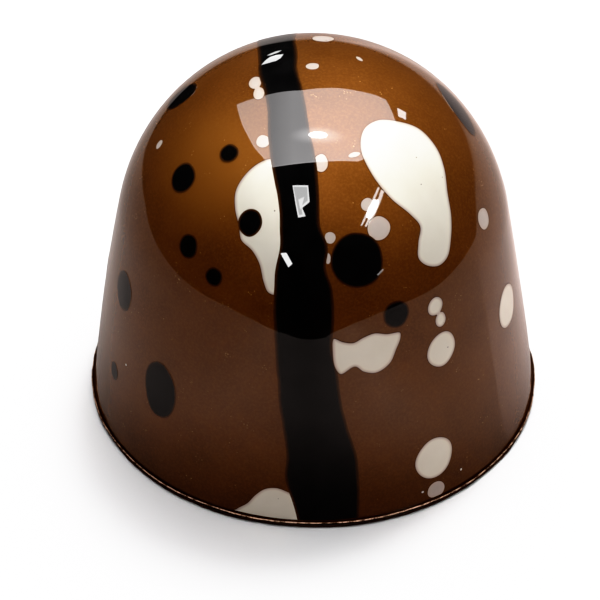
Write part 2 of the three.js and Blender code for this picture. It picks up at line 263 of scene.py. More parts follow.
# Colours
BROWN_DEEP = (0.122, 0.0445, 0.0100)
BROWN_LIGHT = (0.153, 0.0565, 0.0135)
# Painted shade and painted light on the brown
BROWN_PAINTED_SHADE = (0.072, 0.0270, 0.0065)
BROWN_PAINTED_LIGHT = (0.250, 0.0980, 0.0210)
BROWN_GRAIN = (0.230, 0.094, 0.0220)
FLECK_GOLD = (0.55, 0.30, 0.110)
# Colour of the painted shade in the groove, on the lip and over the foot
LIP_SHADE_COLOUR = (0.026, 0.0085, 0.0025)
# Painted highlight along the lip's crest, where its edge catches the light
LIP_PAINTED_HIGHLIGHT = (0.72, 0.46, 0.33)
BLACK_DEEP = (0.0062, 0.0056, 0.0054)
BLACK_LIGHT = (0.0105, 0.0096, 0.0092)
IVORY = ((0.79, 0.73, 0.605), (0.83, 0.775, 0.655))
THIN_IVORY = ((0.49, 0.41, 0.355), (0.56, 0.475, 0.415))
IVORY_OUTLINE = (0.045, 0.014, 0.004)
IVORY_EDGE = (0.09, 0.032, 0.011)
IVORY_RIM = (0.56, 0.44, 0.35)
PINHOLE = (0.12, 0.06, 0.03)
LAYER_DEEP = (0.040, 0.012, 0.004)
LAYER_LIGHT = (0.075, 0.026, 0.010)

# Finishes, in the order of the names of the shader's inputs
FINISH_INPUTS = (
    "Metallic", "Roughness", "Specular IOR Level", "Coat Weight", "Coat Roughness", "Coat IOR",
)
SHELL_FINISH = (0.50, 0.51, 0.0, 1.0, 0.025, 1.58)
DARK_FINISH = (0.0, 0.4, 0.0, 0.93, 0.02, 1.52)
WHITE_FINISH = (0.18, 0.45, 0.0, 0.85, 0.02, 1.52)
LAYER_FINISH = (0.0, 0.45, 0.2)
MATTE_FINISH = (0.0, 1.0, 0.0)
BUMP_STRENGTH = 0.35
BUMP_HEIGHT = 0.06

# Sizes of the patterns in the surfaces, in repeats per metre
CLOUD_SCALE = 350.0
GRAIN_SCALE = 6500.0
FLECK_SCALE = 5600.0
FLECK_CLUSTER_SCALE = 900.0
CREST_HIGHLIGHT_BREAK_SCALE = 2600.0
BLACK_SCALE = 900.0
IVORY_SCALE = 500.0
PINHOLE_SCALE = 1100.0
LAYER_SCALE = 1500.0
LAYER_BUMP_SCALE = 4000.0

# What the gloss mirrors of the sheet: its shaded place, how far it reaches, and its glow by
# how far to the right; behind, at the right, it is brighter
SHADE_CENTRE = (0.0, -6.5, 0.0)
SHADE_RADII = (9.0, 26.0)
SHADE_DEPTH = 0.2
SHEET_TINT = (1.04, 0.93, 0.885)
SHEET_BACK_TINT = (1.10, 0.92, 0.87)
SHEET_FADE = (110.0, 270.0)
SHEET_SPAN = (-100, 100)
SHEET_GLOW = [
    (-100, 0.38), (-61, 0.34), (-44, 0.38), (-30, 0.42), (-24, 0.48), (-17, 0.60), (0, 0.48),
    (8, 0.62), (16, 0.76), (22, 0.54), (30, 0.50), (60, 0.50), (100, 0.47),
]
SHEET_BACK_GLOW = [
    (-100, 0.38), (-30, 0.42), (-17, 0.50), (0, 0.50), (8, 0.70), (16, 1.05), (22, 0.78),
    (30, 0.62), (60, 0.56), (100, 0.50),
]
SHEET_BACK_EDGE = [
    (13, -6.3), (15.7, -5.3), (21, -3.4), (28.8, -0.5), (45.8, 2.6), (70, 9.5), (76, 12),
    (110, 32), (190, 88), (240, 200), (200, 350), (0, 360), (-4, 120), (-2, 40), (8, 12),
]
SHEET_EDGE = [
    (-8, -46), (5, -46.5), (10, -51), (22, -59), (42, -63), (56, -56), (66, -26), (73, -9),
    (76, 12), (110, 32), (190, 88), (240, 200), (200, 350), (0, 360), (-18, 300), (-26, 150),
    (-35, 100), (-38, 80), (-37, 58), (-44, 47), (-66, 44), (-84, 34), (-80, 10), (-74, -10),
    (-66, -26), (-56, -42), (-48, -52), (-30, -53), (-15, -47.5),
]

# Softbox: corners on its level plane in parts of its height, and what it sends at its front
# and back edge; its lamp is an ellipse with a halo
CROWN = np.array([0.0, 0.0, HEIGHT])
SOFTBOX_HEIGHT = 300.0
SOFTBOX_CORNERS = [
    (-0.84, 0.91), (-0.47, 0.77), (-0.27, 0.73), (-0.12, 0.70), (0.08, 0.75), (0.23, 0.80),
    (0.41, 0.85), (0.63, 0.94), (0.76, 0.97), (0.91, 0.46), (0.47, -0.13), (0.42, -0.16),
    (0.17, -0.20), (0.04, -0.22), (-0.16, -0.235), (-0.33, -0.24), (-0.42, -0.238),
    (-0.58, 0.04), (-0.71, 0.41),
]
SOFTBOX_TINT = (1.0, 0.975, 0.98)
SOFTBOX_SPAN = (-70.0, 270.0)
SOFTBOX_RADIANCE = (8.0, 5.2)
SOFTBOX_LEFT = (-110.0, -55.0)
SOFTBOX_LEFT_SHARE = 0.76
SOFTBOX_RIM = 1.2
SOFTBOX_RIM_WIDTH = 3.5
SOFTBOX_GAP = 1.0
LAMP_PLACE = (0.033, 0.067)
LAMP_HALF_WIDTHS = (24.0, 10.0)
LAMP_RADIANCE = 60.0
HALO_REACH = (0.5, 3.4)
HALO_RADIANCE = 5.5
LAMP_SIDES = 24

# Small bright things round the table that show as glints: name, how bright, share of the
# distance, and azimuth and elevation of the corners as seen from the crown
CARD_DISTANCE = 600.0
CARDS = [
    ("window_frame", 20.0, 1.0, [
        (-154.4, 60.9), (-172.8, 62.9), (-176.1, 53.1), (-169.8, 49.3), (-173.5, 44.7),
        (-167.6, 43.4),
    ]),
    ("window_pane", 12.0, 0.99, [
        (-156.2, 60.2), (-171.8, 61.7), (-174.2, 54.0), (-168.4, 50.2), (-170.9, 45.6),
        (-168.1, 45.0),
    ]),
    ("low_card", 22.0, 1.0, [(-159.7, 22), (-163.3, 22.9), (-167.7, 17.6), (-165.6, 15.4)]),
    ("leaf_card", 9.0, 1.0, [
        (-16.8, 18.4), (-14.1, 14.8), (-12.3, 12.7), (-10.4, 12.2), (-8.5, 13.4),
        (-10.3, 17.6), (-12.1, 19.3), (-14.8, 19.0),
    ]),
    ("leaf_back_card", 6.0, 1.0, [
        (-12.3, 9.5), (-10.8, 8.1), (-9.0, 7.1), (-7.9, 7.5), (-9.3, 9.5), (-11.4, 10.5),
    ]),
    ("streak_left", 12.0, 1.0, [
        (118, 47.1), (116.5, 46.2), (125.8, 43.6), (135, 39.9), (142.1, 35.7), (145.3, 34),
        (145.7, 34.6), (139.3, 39), (129.6, 43.7),
    ]),
    ("streak_right", 12.0, 1.0, [
        (117, 45), (115.8, 43.1), (124.4, 40.1), (131.4, 37), (138.8, 33.6), (142.6, 32.5),
        (143.1, 33.3), (138.2, 36.7), (131.4, 40.3), (123.1, 42.8),
    ]),
    ("streak_core", 34.0, 0.99, [
        (127.5, 43.7), (124, 41.6), (127.9, 39.2), (133.1, 37.1), (138.1, 35.5),
        (139.7, 37.6), (137.9, 39.7), (132.7, 42.1),
    ]),
    ("edge_glint", 5.0, 1.0, [(144.0, 6.7), (143.3, 5.9), (139.3, 7.7), (140.0, 8.5)]),
    ("square_card", 11.0, 1.0, [(44.2, 34.6), (47.1, 31.2), (52.5, 34.2), (50.4, 37.6)]),
]

# Lights that shape the form: azimuth, elevation, distance, width in metres, watts
TOP_LIGHT_TINT = (0.955, 1.0, 1.05)
TOP_LIGHTS = [
    ("soft_light", 14, 73, 330, 0.36, 1.98),
    ("key_light", 26, 66, 450, 0.10, 0.85),
    ("front_light", 165, 30, 500, 0.4, 0.22),
]
WORLD_STRENGTH = 0.015

# Floor for the camera, a warmer one under it for the light, and the mirrored sheet
FLOOR_HALF = 3000.0
FLOOR_LEVEL = -0.02
BOUNCE_LEVEL = -0.03
SHEET_LEVEL = -0.01
SHEET_BACK_LEVEL = -0.005
FLOOR_COLOUR = (0.91, 0.865, 0.835)
BOUNCE_COLOUR = (0.88, 0.76, 0.72)

# Far white wall with its ceiling
WALL_RADIUS = 2950.0
WALL_HEIGHTS = (-10.0, 5000.0)
WALL_SIDES = 32
WALL_STRENGTH = 1.2

# Painted light and shade on the brown: a lighter patch on the left shoulder and a darker patch by
# the stripe's top: centre, how far it spreads, how strong, and the colour
PAINTED_LIGHT_PLACES = [
    ((-6.1, -5.2, 21.3), (1.0, 6.0), 0.8, BROWN_PAINTED_LIGHT),
    ((-1.2, -2.4, 23.5), (1.2, 6.2), 0.42, BROWN_PAINTED_SHADE),
]

# White spots where the colour is thin and the brown shows through
THIN_SPOTS = (
    "white_drop_by_pear", "white_twin_crown", "white_drop_foot_right", "white_drop_crown",
    "white_drop_rim_back", "white_drop_upper_right",
)

# Halvings when a line is cut with the dome, and the height step of a slope
CAST_STEPS = 44
SLOPE_STEP = 0.01

rng = np.random.default_rng(24)


# Dome surface

def wall_tilt(height):
    sine = math.sin(WALL_START_TILT) - (WALL_TOP_HEIGHT - height) / WALL_ARC_RADIUS
    return np.arcsin(sine)


def wall_radius(tilt):
    return WALL_TOP_RADIUS + WALL_ARC_RADIUS * (np.cos(tilt) - math.cos(WALL_START_TILT))


def tilt_at(height):
    """How far the surface faces up at a height, in radians."""
    height = np.asarray(height, float)
    shoulder = math.sin(CAP_END_TILT) - (CAP_END_HEIGHT - height) / SHOULDER_RADIUS
    cap = 1 - (HEIGHT - height) / CAP_RADIUS
    curved = np.arcsin(np.clip(np.where(height > CAP_END_HEIGHT, cap, shoulder), -1, 1))
    return np.where(height > WALL_TOP_HEIGHT, curved, wall_tilt(height))


def smooth_step(value):
    value = np.clip(value, 0, 1)
    return value * value * (3 - 2 * value)


def radius_at(height):
    """Radius of the dome at a height, less than zero above the crown."""
    height = np.asarray(height, float)
    tilt = tilt_at(height)
    cap = CAP_RADIUS * np.cos(tilt)
    shoulder = CAP_END_RADIUS + SHOULDER_RADIUS * (np.cos(tilt) - math.cos(CAP_END_TILT))
    radius = np.where(height > CAP_END_HEIGHT, cap, shoulder)
    radius = np.where(height > WALL_TOP_HEIGHT, radius, wall_radius(tilt))
    groove = smooth_step((GROOVE_TOP - height) / (GROOVE_TOP - LIP_TOP)) ** 2
    radius = radius - (wall_radius(wall_tilt(LIP_TOP)) - GROOVE_RADIUS) * groove
    return np.where(height > HEIGHT, HEIGHT - height - 1e-6, radius)


def outside(points):
    return np.hypot(points[:, 0], points[:, 1]) - radius_at(points[:, 2])


def cast(origins, directions, near, far):
    """Where lines from inside at near to outside at far leave the dome."""
    low = np.full(len(origins), float(near))
    high = np.full(len(origins), float(far))
    for _ in range(CAST_STEPS):
        middle = (low + high) / 2
        is_out = outside(origins + middle[:, None] * directions) > 0
        high = np.where(is_out, middle, high)
        low = np.where(is_out, low, middle)
    return origins + ((low + high) / 2)[:, None] * directions


def normals_of(points):
    """Outward normals of the dome at points on it, groove and all."""
    height = points[:, 2]
    above = radius_at(height + SLOPE_STEP)
    below = radius_at(height - SLOPE_STEP)
    slope = (above - below) / (2 * SLOPE_STEP)
    tilt = np.where(height < GROOVE_TOP, np.arctan(-slope), tilt_at(np.minimum(height, HEIGHT)))
    length = np.maximum(np.hypot(points[:, 0], points[:, 1]), 1e-9)
    flat = points[:, :2] / length[:, None]
    return np.column_stack([flat * np.cos(tilt)[:, None], np.sin(tilt)])


def lifted_to_foot(points):
    """Points of the wall below the films' foot, moved up the wall to it."""
    height = np.maximum(points[:, 2], FILM_FOOT)
    length = np.maximum(np.hypot(points[:, 0], points[:, 1]), 1e-9)
    scale = np.where(points[:, 2] < FILM_FOOT, radius_at(height) / length, 1)
    return np.column_stack([points[:, 0] * scale, points[:, 1] * scale, height])


def surface_frame(turn, height):
    """A point of the dome with its directions to the right, up the surface and outward."""
    around = math.radians(turn)
    tilt = float(tilt_at(height))
    radius = float(radius_at(height))
    out = np.array([math.sin(around), -math.cos(around), 0.0])
    place = out * radius + np.array([0, 0, height])
    right = np.array([math.cos(around), math.sin(around), 0.0])
    normal = out * math.cos(tilt) + np.array([0, 0, math.sin(tilt)])
    return place, right, np.cross(normal, right), normal


def leaned(points):
    """Points with the foot's slight sideways shift, which dies away up the wall."""
    points = np.asarray(points, float)
    share = 1 - smooth_step((points[:, 2] - LIP_TOP) / FOOT_SHIFT_HEIGHT)
    return points + share[:, None] * np.array([*FOOT_SHIFT, 0.0])


# Meshes

def full_turn(sides):
    return np.linspace(0, 2 * math.pi, sides, endpoint=False)


def make_piece(name, points, faces, normals=None, marks=None, material=None):
    """Mesh object from points in millimetres, with its own smooth normals."""
    mesh = bpy.data.meshes.new(name)
    mesh.from_pydata([tuple(p) for p in np.asarray(points) * MM], [], faces)
    mesh.update()
    mesh.polygons.foreach_set("use_smooth", [True] * len(mesh.polygons))
    for mark, values in (marks or {}).items():
        layer = mesh.attributes.new(mark, "FLOAT", "POINT")
        layer.data.foreach_set("value", np.asarray(values, np.float32))
    if normals is not None:
        mesh.normals_split_custom_set_from_vertices([tuple(n) for n in normals])
    piece = bpy.data.objects.new(name, mesh)
    bpy.context.scene.collection.objects.link(piece)
    if material is not None:
        mesh.materials.append(material)
    return piece


def between(first, second, start, end, t):
    """Point on the straight way from first at start to second at end."""
    return (first * (end - t) + second * (t - start)) / (end - start)


def spline_loop(knots, steps):
    """Closed smooth curve through the knots (centripetal Catmull-Rom)."""
    knots = np.asarray(knots, float)
    count = len(knots)
    loop = []
    for i in range(count):
        p0, p1, p2, p3 = (knots[(i + k - 1) % count] for k in range(4))
        t1 = math.dist(p0, p1) ** 0.5
        t2 = t1 + math.dist(p1, p2) ** 0.5
        t3 = t2 + math.dist(p2, p3) ** 0.5
        for step in range(steps):
            t = t1 + (t2 - t1) * step / steps
            a1 = between(p0, p1, 0, t1, t)
            a2 = between(p1, p2, t1, t2, t)
            a3 = between(p2, p3, t2, t3, t)
            b1 = between(a1, a2, 0, t2, t)
            b2 = between(a2, a3, t1, t3, t)
            loop.append(between(b1, b2, t1, t2, t))
    return np.array(loop)


def turned_loop(loop, lean):
    angle = math.radians(lean)
    turn = np.array([[math.cos(angle), -math.sin(angle)], [math.sin(angle), math.cos(angle)]])
    return loop @ turn.T


def counter_clockwise(loop):
    x, y = loop[:, 0], loop[:, 1]
    area = float(np.sum(x * np.roll(y, -1) - np.roll(x, -1) * y))
    return loop if area > 0 else loop[::-1]


def drop_loop(half_width, half_length, lean, unevenness):
    """Uneven round outline of a drop."""
    reach = 2 * math.pi * max(half_width, half_length)
    sides = max(DROP_LEAST_SIDES, int(reach / DROP_SIDE))
    angle = full_turn(sides)
    swell = np.ones(sides)
    for waves in (2, 3, 4, 5):
        phase = rng.uniform(0, 2 * math.pi)
        swell += unevenness / waves * np.cos(waves * angle + phase)
    loop = np.column_stack([half_width * np.cos(angle), half_length * np.sin(angle)])
    return turned_loop(loop * swell[:, None], lean)


def splash_loop(outline, size, lean):
    loop = spline_loop(outline, SPLASH_STEPS)
    return counter_clockwise(turned_loop(loop * size, lean))


def loop_distance(points, loop):
    """Distance of each point from the closed loop."""
    step = np.roll(loop, -1, axis=0) - loop
    length = np.maximum((step**2).sum(1), 1e-12)
    offset = points[:, None, :] - loop[None, :, :]
    share = np.clip((offset * step[None]).sum(2) / length[None], 0, 1)
    gap = offset - share[:, :, None] * step[None]
    return np.sqrt((gap**2).sum(2)).min(1)


def inside_loop(points, loop):
    x, y = points[:, 0], points[:, 1]
    inside = np.zeros(len(points), bool)
    for (x1, y1), (x2, y2) in zip(loop, np.roll(loop, -1, axis=0)):
        crosses = (y1 > y) != (y2 > y)
        if not crosses.any():
            continue
        at = (x2 - x1) * (y - y1) / (y2 - y1 + 1e-15) + x1
        inside ^= crosses & (x < at)
    return inside


def inner_rings(loop, rim):
    """Points along the loop's inside, where a film's colour changes."""
    before = np.roll(loop, 1, axis=0)
    after = np.roll(loop, -1, axis=0)
    along = after - before
    along /= np.maximum(np.linalg.norm(along, axis=1), 1e-9)[:, None]
    inward = np.column_stack([-along[:, 1], along[:, 0]])
    rings = []
    for share in RIM_STEPS:
        ring = loop + inward * rim * share
        keep = loop_distance(ring, loop) > rim * share * RING_KEEP
        rings.append(ring[keep & inside_loop(ring, loop)])
    return np.vstack(rings)


def film(name, loops, turn, height, lift, rim, material):
    """Closed film with the outline of the loops, laid on the dome round one place."""
    merged = join_loops(loops)
    low = merged.min(0)
    high = merged.max(0)
    step = min(FILM_GRID, float((high - low).min()) / FILM_LEAST_CELLS)
    lines = [np.arange(start, end, step) for start, end in zip(low, high)]
    grid = np.stack(np.meshgrid(*lines), -1).reshape(-1, 2)
    grid = grid[inside_loop(grid, merged)]
    grid = grid[loop_distance(grid, merged) > rim * RIM_STEPS[-1] + step * GRID_GAP]
    rings = inner_rings(merged, rim)
    flat = np.vstack([merged, rings, grid])
    count = len(merged)
    places = [Vector(p) for p in flat]
    found = geometry.delaunay_2d_cdt(places, [], [list(range(count))], 1, 1e-7)
    flat = np.array([tuple(v) for v in found[0]])
    faces = [tuple(face) for face in found[2]]
    place, right, up, normal = surface_frame(turn, height)
    origins = place + flat[:, :1] * right + flat[:, 1:] * up
    base = cast(origins, np.tile(normal, (len(flat), 1)), -FILM_REACH, FILM_REACH)
    base = lifted_to_foot(base)
    outward = normals_of(base)
    share = np.clip(loop_distance(flat, merged) / rim, 0, 1)
    return closed_film(name, base, outward, faces, share, lift, material)


def join_loops(loops):
    """One loop round all the given ones, where they overlap."""
    if len(loops) == 1:
        return counter_clockwise(loops[0])
    one, other = (counter_clockwise(loop) for loop in loops)
    kept_one = one[~inside_loop(one, other)]
    kept_other = other[~inside_loop(other, one)]
    return counter_clockwise(np.vstack([unbroken(kept_one), unbroken(kept_other)]))


def unbroken(run):
    """An open run of a loop's points, started after its one long gap."""
    gaps = np.linalg.norm(np.roll(run, -1, axis=0) - run, axis=1)
    cut = int(np.argmax(gaps)) + 1
    return np.roll(run, -cut, axis=0)


def closed_film(name, base, outward, faces, share, lift, material):
    """Outer skin, underside and edge of a film over points of the dome."""
    count = len(base)
    points = np.vstack([base + outward * lift, base - outward * FILM_DEPTH])
    edges = [edge for face in faces for edge in zip(face, face[1:] + face[:1])]
    known = set(edges)
    sides = [(b, a, a + count, b + count) for a, b in edges if (b, a) not in known]
    under = [tuple(i + count for i in reversed(face)) for face in faces]
    normals = np.vstack([outward, -outward])
    marks = {"rim": np.concatenate([share, np.zeros(count)])}
    return make_piece(name, leaned(points), faces + under + sides, normals, marks, material)


def waver(angles, wave_kind, amplitude, seed):
    """Uneven waver of an edge, from waves that are smaller the shorter they are."""
    all_waves, power = wave_kind
    source = np.random.default_rng(seed)
    total = np.zeros(len(angles))
    for waves in all_waves:
        phase = source.uniform(0, 2 * math.pi)
        height = amplitude * (all_waves[0] / waves) ** power
        total += height * np.sin(angles * waves + phase)
    return total


def through_keys(angles, keys, values):
    """Smooth curve through the keys, with the slope at each taken from its neighbours."""
    slopes = np.gradient(values, keys)
    index = np.clip(np.searchsorted(keys, angles) - 1, 0, len(keys) - 2)
    gap = keys[index + 1] - keys[index]
    share = (angles - keys[index]) / gap
    level = values[index] + (values[index + 1] - values[index]) * smooth_step(share)
    leaving = share * (1 - share) ** 2 * gap * slopes[index]
    arriving = share**2 * (1 - share) * gap * slopes[index + 1]
    return level + leaving - arriving


def stripe_edges(angles):
    keys, left, right = np.array(STRIPE_KEYS, float).T
    edges = []
    for edge, seed in zip((left, right), STRIPE_SEEDS):
        wavy = waver(np.radians(angles), STRIPE_WAVES, STRIPE_WAVER, seed)
        edges.append(through_keys(angles, keys, edge) + wavy)
    return edges


def stripe_end_angle(x):
    """Angle from straight up at which the arm meets the stripe's foot, at each x."""
    reach = np.sqrt(float(radius_at(FILM_FOOT)) ** 2 - x**2)
    return np.degrees(np.arctan2(reach, FILM_FOOT - STRIPE_AXIS_HEIGHT))


def stripe_columns(left, right):
    """Columns of points from edge to edge, and how far each is from the nearer edge."""
    rim_steps = np.array([0, *RIM_STEPS]) * STRIPE_RIM
    start = rim_steps[-1]
    columns = [left + step for step in rim_steps]
    for share in np.linspace(0, 1, STRIPE_INNER_COLUMNS)[1:-1]:
        columns.append(left + start + (right - left - 2 * start) * share)
    columns += [right - step for step in rim_steps[::-1]]
    middle = np.full(STRIPE_INNER_COLUMNS - 2, start)
    distances = np.concatenate([rim_steps, middle, rim_steps[::-1]])
    return np.stack(columns, 1), distances


def make_stripe(material):
    """The dark stripe, from foot to foot over the top."""
    angles = np.linspace(-STRIPE_END, STRIPE_END, STRIPE_ROWS)
    columns, distances = stripe_columns(*stripe_edges(angles))
    x = columns.ravel()
    share = np.tile(np.clip(distances / STRIPE_RIM, 0, 1), STRIPE_ROWS)
    across = len(distances)
    swing = np.radians(np.repeat(angles, across) * stripe_end_angle(x) / STRIPE_END)
    directions = np.column_stack([np.zeros(len(x)), -np.sin(swing), np.cos(swing)])
    origins = np.column_stack([x, np.zeros(len(x)), np.full(len(x), STRIPE_AXIS_HEIGHT)])
    base = cast(origins, directions, *STRIPE_CAST)
    faces = []
    for row in range(STRIPE_ROWS - 1):
        for column in range(across - 1):
            a = row * across + column
            faces.append((a, a + across, a + across + 1, a + 1))
    name = "dark_stripe_film"
    return closed_film(name, base, normals_of(base), faces, share, STRIPE_LIFT, material)


def turned_form(rows, turns, top, bottom):
    """Points and faces of a form closed at its axis, from rows of radii and heights."""
    around = len(turns)
    points = []
    for radius, height in rows:
        points.append(np.column_stack([radius * np.sin(turns), -radius * np.cos(turns), height]))
    points = np.vstack(points + [[[0, 0, top]], [[0, 0, bottom]]])
    faces = []
    for row in range(len(rows) - 1):
        for i in range(around):
            a = row * around + i
            b = row * around + (i + 1) % around
            faces.append((a, b, b + around, a + around))
    last = (len(rows) - 1) * around
    for i in range(around):
        faces.append((last + i, last + (i + 1) % around, len(points) - 2))
        faces.append(((i + 1) % around, i, len(points) - 1))
    return leaned(points), faces


def shell_heights():
    """Heights of the rows of points, from the groove to just under the crown."""
    groove_rows, wall_rows, shoulder_rows, cap_rows = SHELL_ROWS
    groove = np.linspace(GROOVE_START, GROOVE_TOP, groove_rows)
    wall = np.linspace(GROOVE_TOP, WALL_TOP_HEIGHT, wall_rows)[1:]
    tilts = np.linspace(WALL_START_TILT, CAP_END_TILT, shoulder_rows)[1:]
    shoulder = CAP_END_HEIGHT - SHOULDER_RADIUS * (math.sin(CAP_END_TILT) - np.sin(tilts))
    tilts = np.linspace(CAP_END_TILT, math.pi / 2, cap_rows)[1:-1]
    cap = HEIGHT - CAP_RADIUS * (1 - np.sin(tilts))
    return np.concatenate([groove, wall, shoulder, cap])


def foot_shade(height):
    """How much of the dark shade the wall has at a height above the lip."""
    inside_groove = 1 - float(smooth_step((height - LIP_TOP) / GROOVE_SHADE))
    near_foot = 1 - float(smooth_step((height - LIP_TOP) / FOOT_SHADE))
    return max(GROOVE_DARKENING * inside_groove, FOOT_DARKENING * near_foot)


def make_shell(material):
    """Smooth dome with a slightly ragged lip."""
    turns = full_turn(SHELL_SIDES)
    ragged = waver(turns, LIP_WAVES, LIP_RAGGED, LIP_SEEDS[0])
    fine = waver(turns, LIP_WAVES, LIP_RAGGED_UPWARD, LIP_SEEDS[1])
    rows = []
    crest = []
    shade = []
    for radius, height, push, rise, is_crest, is_shaded in LIP_PROFILE:
        rows.append((radius + push * ragged, height + rise * fine))
        crest.append(is_crest)
        shade.append(is_shaded)
    for height in shell_heights():
        rows.append((float(radius_at(height)), np.full(SHELL_SIDES, height)))
        crest.append(0)
        shade.append(foot_shade(height))
    points, faces = turned_form(rows, turns, HEIGHT, SEAM)
    marks = {"crest": crest, "shade": shade}
    marks = {k: np.append(np.repeat(v, SHELL_SIDES), [0, 0]) for k, v in marks.items()}
    return make_piece("praline_shell", points, faces, marks=marks, material=material)


def make_layer(material):
    """Thin closing layer with a softly rounded edge."""
    turns = full_turn(LAYER_SIDES)
    ragged = waver(turns, LIP_WAVES, LAYER_RAGGED, LAYER_SEED)
    rows = []
    for radius, height, push in LAYER_PROFILE:
        rows.append((radius + push * ragged, np.full(LAYER_SIDES, height)))
    points, faces = turned_form(rows, turns, LAYER_TOP, 0)
    return make_piece("closing_layer_edge", points, faces, material=material)


# Materials

def new_material(name, finish):
    material = bpy.data.materials.new(name)
    material.use_nodes = True
    tree = material.node_tree
    shader = tree.nodes["Principled BSDF"]
    for socket, value in zip(FINISH_INPUTS, finish):
        shader.inputs[socket].default_value = value
    return material, tree, shader


def add_node(tree, kind, **inputs):
    """A node of a kind, with each named input set to a value or fed by a socket."""
    node = tree.nodes.new("ShaderNode" + kind)
    for name, value in inputs.items():
        socket = node.inputs[name.replace("_", " ")]
        if isinstance(value, bpy.types.NodeSocket):
            tree.links.new(value, socket)
        else:
            socket.default_value = value
    return node


def texture_place(tree):
    return add_node(tree, "TexCoord").outputs["Object"]


def noise(tree, place, scale, detail, roughness=0.5):
    node = add_node(tree, "TexNoise", Vector=place, Scale=scale, Detail=detail, Roughness=roughness)
    return node.outputs["Fac"]


def ramp(tree, value, stops):
    node = tree.nodes.new("ShaderNodeValToRGB")
    elements = node.color_ramp.elements
    while len(elements) > 1:
        elements.remove(elements[-1])
    elements[0].position = stops[0][0]
    elements[0].color = (*stops[0][1], 1)
    for position, colour in stops[1:]:
        element = elements.new(position)
        element.color = (*colour, 1)
    tree.links.new(value, node.inputs["Fac"])
    return node.outputs["Color"]


def clouded(tree, place, scale, detail, dark, light):
    """Two near shades in soft clouds."""
    return ramp(tree, noise(tree, place, scale, detail), [(0.3, dark), (0.7, light)])


def grey_ramp(tree, value, stops):
    """A ramp of plain numbers: each stop is a position and a level."""
    return ramp(tree, value, [(position, (level, level, level)) for position, level in stops])


def mixed(tree, factor, first, second):
    """First where the factor is 0, second where it is 1; each is a colour or a socket."""
    node = tree.nodes.new("ShaderNodeMix")
    node.data_type = "RGBA"
    for socket, value in ((node.inputs[6], first), (node.inputs[7], second)):
        if isinstance(value, tuple):
            socket.default_value = (*value, 1)
        else:
            tree.links.new(value, socket)
    tree.links.new(factor, node.inputs[0])
    return node.outputs[2]


def far_from(tree, place, centre, radii, inside, beyond):
    """A number that goes softly from one value to another with the distance from a centre."""
    length = add_node(tree, "VectorMath")
    length.operation = "DISTANCE"
    length.inputs[1].default_value = [value * MM for value in centre]
    tree.links.new(place, length.inputs[0])
    return stretched(tree, length.outputs["Value"], radii, inside, beyond, "SMOOTHSTEP")


def arithmetic(tree, operation, first, second):
    node = add_node(tree, "Math")
    node.operation = operation
    tree.links.new(first, node.inputs[0])
    tree.links.new(second, node.inputs[1])
    return node.outputs[0]


def stretched(tree, value, span, first, last, way="LINEAR"):
    """A number that goes from first to last over a span in millimetres."""
    node = add_node(
        tree, "MapRange", Value=value, From_Min=span[0] * MM, From_Max=span[1] * MM, To_Min=first,
        To_Max=last,
    )
    node.interpolation_type = way
    return node.outputs["Result"]


def mark_value(tree, mark):
    node = add_node(tree, "Attribute")
    node.attribute_name = mark
    return node.outputs["Fac"]


def cell_distance(tree, place, scale):
    """Distance from the nearest of many scattered points."""
    return add_node(tree, "TexVoronoi", Vector=place, Scale=scale).outputs["Distance"]


def brown_colour(tree, place):
    """Bronze brown with faint clouds, fine grain, clusters of golden shimmer flecks, and a patch of
    painted light and one of painted shade.
    """
    base = clouded(tree, place, CLOUD_SCALE, 3.0, BROWN_DEEP, BROWN_LIGHT)
    # Patches of painted light and painted shade
    for centre, radii, share, colour in PAINTED_LIGHT_PLACES:
        spread = far_from(tree, place, centre, radii, share, 0.0)
        base = mixed(tree, spread, base, colour)
    grain = noise(tree, place, GRAIN_SCALE, 2.0, 0.6)
    grain = grey_ramp(tree, grain, [(0.42, 0), (0.72, 0.35)])
    grained = mixed(tree, grain, base, BROWN_GRAIN)
    dots = grey_ramp(tree, cell_distance(tree, place, FLECK_SCALE), [(0.14, 1), (0.30, 0)])
    cluster = noise(tree, place, FLECK_CLUSTER_SCALE, 4.0, 0.7)
    cluster = grey_ramp(tree, cluster, [(0.60, 0), (0.70, 0.8)])
    return mixed(tree, arithmetic(tree, "MULTIPLY", dots, cluster), grained, FLECK_GOLD)


def shell_material():
    """Brown with painted dark shade in the groove, on the lip and over the foot, and a painted
    highlight along the lip's crest, broken up by noise.
    """
    material, tree, shader = new_material("bronze_brown_chocolate", SHELL_FINISH)
    place = texture_place(tree)
    # Painted shade in the groove, on the lip and over the foot, from the shade mark
    body = mixed(tree, mark_value(tree, "shade"), brown_colour(tree, place), LIP_SHADE_COLOUR)
    # Noise breaks up the crest's painted highlight
    highlight_breaks = noise(tree, place, CREST_HIGHLIGHT_BREAK_SCALE, 4.0, 0.7)
    highlight_breaks = grey_ramp(tree, highlight_breaks, [(0.42, 0.05), (0.56, 1)])
    crest = arithmetic(tree, "MULTIPLY", mark_value(tree, "crest"), highlight_breaks)
    tree.links.new(mixed(tree, crest, body, LIP_PAINTED_HIGHLIGHT), shader.inputs["Base Color"])
    shine = grey_ramp(tree, mark_value(tree, "shade"), [(0.35, 1), (0.9, 0.06)])
    tree.links.new(shine, shader.inputs["Coat Weight"])
    return material


def dark_material():
    """Near-black film, whose thin rim lets the brown through."""
    material, tree, shader = new_material("black_cocoa_butter", DARK_FINISH)
    place = texture_place(tree)
    black = clouded(tree, place, BLACK_SCALE, 3.0, BLACK_DEEP, BLACK_LIGHT)
    thickness = [(0.0, 0.4), (0.3, 0.72), (0.65, 0.92), (1.0, 1)]
    cover = grey_ramp(tree, mark_value(tree, "rim"), thickness)
    colour = mixed(tree, cover, brown_colour(tree, place), black)
    tree.links.new(colour, shader.inputs["Base Color"])
    return material


